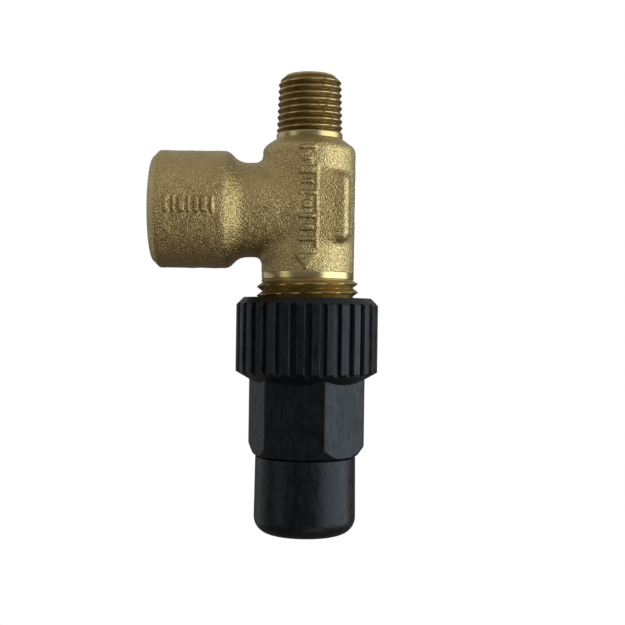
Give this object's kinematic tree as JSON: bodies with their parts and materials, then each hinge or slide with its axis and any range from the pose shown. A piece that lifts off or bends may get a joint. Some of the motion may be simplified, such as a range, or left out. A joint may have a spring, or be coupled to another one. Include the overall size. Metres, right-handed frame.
{
  "type": "pressure relief valve",
  "caption": "Angled spring-loaded brass relief valve with male taper-thread inlet, female side outlet, black knurled hexagon setting knob and push-on end cap.",
  "frame": {"origin": "centre of the inlet's end face, where the valve's threaded inlet enters the pipework", "axes": "+Z along the inlet and stem axis, out of the inlet; -X out of the outlet port; +Y completes the right-hand frame"},
  "size_m": [0.0465, 0.0292, 0.094],
  "materials": {
    "forged_brass": "shot-blasted forging with turned ends",
    "turned_brass": "turned",
    "stainless_steel": "turned",
    "spring_steel": "drawn wire",
    "rubber": "moulded, matt",
    "knob_plastic": "moulded, fine texture",
    "cap_plastic": "moulded, satin"
  },
  "bodies": {
    "valve": {"valve_body": "forged_brass", "guide_bush": "turned_brass", "stem_o_ring": "rubber", "bush_o_ring": "rubber", "bush_circlip": "spring_steel", "stop_ring": "spring_steel", "spring": "spring_steel"},
    "disc": {"disc_holder": "turned_brass", "disc_seal": "rubber", "seal_washer": "stainless_steel", "seal_screw": "stainless_steel", "stem": "stainless_steel", "collar_clip": "spring_steel", "spring_collar": "turned_brass", "lift_nut": "stainless_steel", "lock_nut": "stainless_steel"},
    "follower": {"spring_follower": "turned_brass", "thrust_washer": "stainless_steel"},
    "knob": {"setting_knob": "knob_plastic", "thread_insert": "turned_brass", "cap_o_ring": "rubber"},
    "cap": {"end_cap": "cap_plastic"}
  },
  "joints": [
    {"name": "disc_lift", "type": "slide", "parent": "valve", "child": "disc", "axis": [0, 0, -1], "range_m": [0, 0.002], "stiffness_N_per_m": 4150, "springref_m": -0.008},
    {"name": "knob_travel", "type": "slide", "parent": "valve", "child": "follower", "axis": [0, 0, 1], "range_m": [-0.003, 0.002], "deforming": ["spring"]},
    {"name": "knob_turn", "type": "hinge", "parent": "follower", "child": "knob", "pos_m": [0, 0, -0.06], "axis": [0, 0, 1], "range_deg": [-590, 396]},
    {"name": "cap_pull", "type": "slide", "parent": "knob", "child": "cap", "axis": [0, 0, -1], "range_m": [0, 0.018]}
  ],
  "couplings": [
    {"joint": "knob_travel", "follows": "knob_turn", "m_per_rad": 0.00028871}
  ]
}
